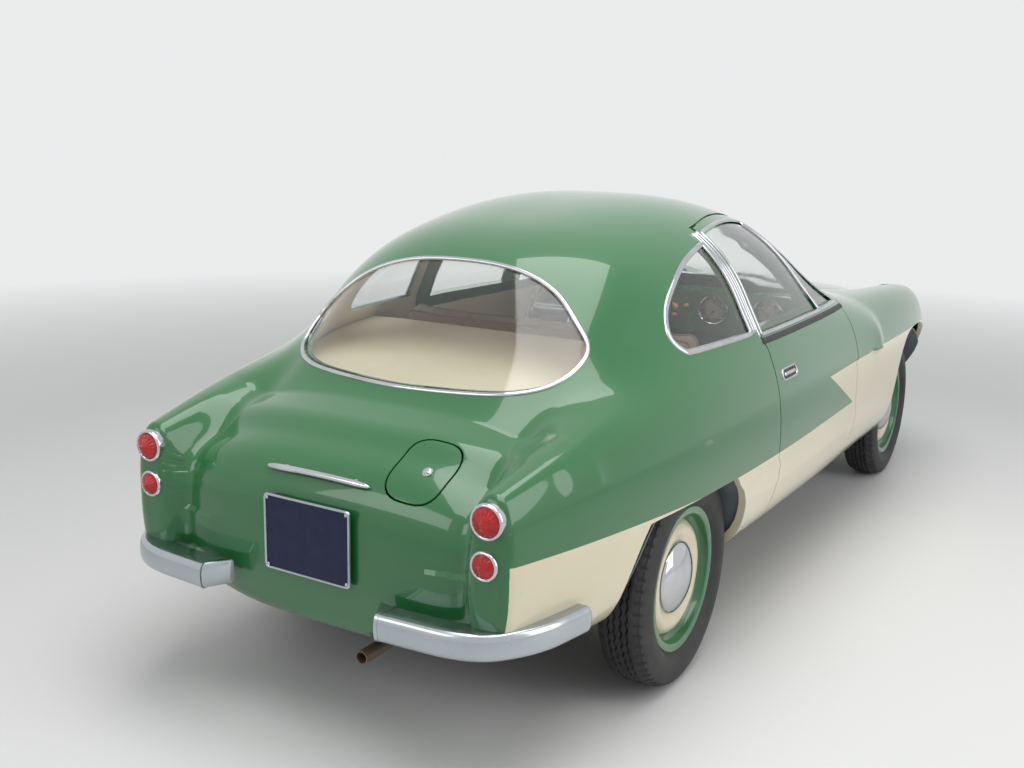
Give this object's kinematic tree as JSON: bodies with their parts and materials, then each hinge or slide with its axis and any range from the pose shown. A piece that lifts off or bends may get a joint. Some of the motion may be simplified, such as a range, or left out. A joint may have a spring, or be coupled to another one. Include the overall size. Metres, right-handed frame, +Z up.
{
  "type": "sports coupe",
  "caption": "Small two-door 1950s fastback coupe with pontoon wings, hollow cabin, opening doors, bonnet and fuel flap, steered and rolling wheels.",
  "frame": {"origin": "on the ground, in the middle of the car's length and width", "axes": "the car faces -Y, +X is its left side, +Z is up"},
  "size_m": [1.4858, 4.0198, 1.312],
  "materials": {
    "green_paint": "gloss two-tone paint, green above and cream below",
    "dark_paint": "satin underbody paint",
    "wheelhouse_paint": "satin grey-blue paint",
    "dark_steel": "satin, dark",
    "cast_iron": "rough",
    "bare_steel": "satin, a little stained",
    "dial_plastic": "gloss",
    "brown_plastic": "gloss",
    "cream_leather": "soft satin",
    "brown_cloth": "woven",
    "glass": "clear",
    "lamp_glass": "ribbed, clear",
    "red_glass": "ribbed, red",
    "plate": "gloss, dark blue",
    "chrome": "polished",
    "polished_aluminium": "polished",
    "wheel_paint": "gloss green rim with a cream disc",
    "tyre": "black, block tread"
  },
  "bodies": {
    "body": {"cabin_body": "green_paint", "dash_dials": "dial_plastic", "dashboard": "green_paint", "engine_block": "cast_iron", "exhaust": "bare_steel", "firewall": "dark_paint", "floor_pan": "dark_paint", "front_axle": "dark_steel", "front_body": "green_paint", "front_bumpers": "polished_aluminium", "gearbox_and_shaft": "cast_iron", "grille": "chrome", "headlamps": "lamp_glass", "number_plate": "plate", "parcel_shelf": "cream_leather", "quarter_windows": "glass", "rear_axle": "dark_steel", "rear_bumpers": "polished_aluminium", "rear_window": "glass", "seat_back": "brown_cloth", "seat_cushion": "brown_cloth", "seat_frame": "dark_steel", "steering_column": "dark_steel", "tail_handle": "chrome", "tail_lamps": "red_glass", "wheelhouses": "wheelhouse_paint", "windscreen": "glass"},
    "door_left": {"door_left": "green_paint", "door_card_left": "cream_leather", "door_glass_left": "glass"},
    "door_right": {"door_right": "green_paint", "door_card_right": "cream_leather", "door_glass_right": "glass"},
    "bonnet": {"bonnet": "green_paint"},
    "fuel_flap": {"fuel_flap": "green_paint"},
    "steering_wheel": {"steering_wheel": "brown_plastic"},
    "knuckle_left": {"knuckle_left": "dark_steel"},
    "knuckle_right": {"knuckle_right": "dark_steel"},
    "wheel_front_left": {"wheel_front_left": "wheel_paint", "tyre_front_left": "tyre"},
    "wheel_front_right": {"wheel_front_right": "wheel_paint", "tyre_front_right": "tyre"},
    "wheel_rear_left": {"wheel_rear_left": "wheel_paint", "tyre_rear_left": "tyre"},
    "wheel_rear_right": {"wheel_rear_right": "wheel_paint", "tyre_rear_right": "tyre"}
  },
  "joints": [
    {"name": "door_left_hinge", "type": "hinge", "parent": "body", "child": "door_left", "pos_m": [0.7359, -0.3065, 0.575], "axis": [0, 0, -1], "range_deg": [0, 65]},
    {"name": "door_right_hinge", "type": "hinge", "parent": "body", "child": "door_right", "pos_m": [-0.7359, -0.3065, 0.575], "axis": [0, 0, 1], "range_deg": [0, 65]},
    {"name": "bonnet_hinge", "type": "hinge", "parent": "body", "child": "bonnet", "pos_m": [0, -0.6775, 0.91518], "axis": [-1, 0, 0], "range_deg": [0, 50]},
    {"name": "fuel_flap_hinge", "type": "hinge", "parent": "body", "child": "fuel_flap", "pos_m": [-0.262, 1.71632, 0.77283], "axis": [1, 0, 0], "range_deg": [0, 80]},
    {"name": "steer_left", "type": "hinge", "parent": "body", "child": "knuckle_left", "pos_m": [0.488, -1.31, 0.304], "axis": [0, 0, 1], "range_deg": [-28, 28]},
    {"name": "steer_right", "type": "hinge", "parent": "body", "child": "knuckle_right", "pos_m": [-0.488, -1.31, 0.304], "axis": [0, 0, 1], "range_deg": [-28, 28]},
    {"name": "steering_wheel_turn", "type": "hinge", "parent": "body", "child": "steering_wheel", "pos_m": [0.31, -0.02, 0.83], "axis": [0, 0.8387, 0.5446], "range_deg": [-420, 420]},
    {"name": "spin_front_left", "type": "hinge", "parent": "knuckle_left", "child": "wheel_front_left", "pos_m": [0.58, -1.31, 0.304], "axis": [1, 0, 0], "continuous": true},
    {"name": "spin_front_right", "type": "hinge", "parent": "knuckle_right", "child": "wheel_front_right", "pos_m": [-0.58, -1.31, 0.304], "axis": [1, 0, 0], "continuous": true},
    {"name": "spin_rear_left", "type": "hinge", "parent": "body", "child": "wheel_rear_left", "pos_m": [0.6, 1.11, 0.304], "axis": [1, 0, 0], "continuous": true},
    {"name": "spin_rear_right", "type": "hinge", "parent": "body", "child": "wheel_rear_right", "pos_m": [-0.6, 1.11, 0.304], "axis": [1, 0, 0], "continuous": true}
  ],
  "couplings": [
    {"joint": "steer_right", "follows": "steer_left", "ratio": 1},
    {"joint": "steering_wheel_turn", "follows": "steer_left", "ratio": 14}
  ]
}
